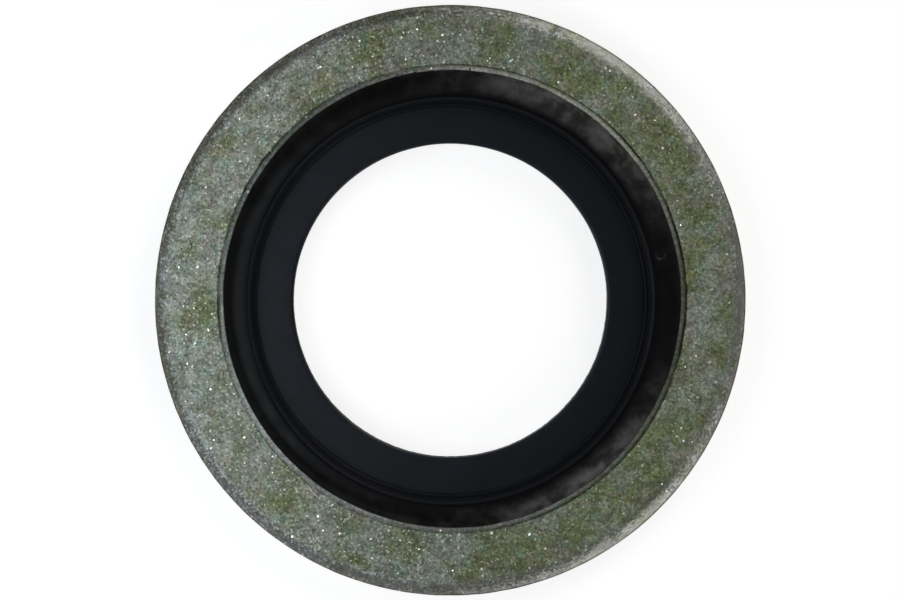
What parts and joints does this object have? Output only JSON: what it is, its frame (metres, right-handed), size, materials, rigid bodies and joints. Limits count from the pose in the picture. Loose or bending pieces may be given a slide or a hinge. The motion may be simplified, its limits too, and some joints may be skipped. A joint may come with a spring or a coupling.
{
  "type": "bonded sealing washer",
  "caption": "Flat plated steel ring with a black rubber seal bonded in its hole: a raised bead on each face and a thin centring membrane that grips a screw thread.",
  "frame": {"origin": "centre of the bore, on the plane that the lower rubber bead rests on", "axes": "+Z along the bore, out of the face with the rolled-over rim; X and Y lie in the plane of the ring, and the ring is the same all round"},
  "size_m": [0.022, 0.022, 0.0022],
  "materials": {
    "plated_steel": "zinc plated and olive passivated, matt and finely grained",
    "nitrile_rubber": "black, moulded, satin"
  },
  "bodies": {
    "root": {"steel_ring": "plated_steel", "rubber_seal": "nitrile_rubber"}
  },
  "joints": []
}
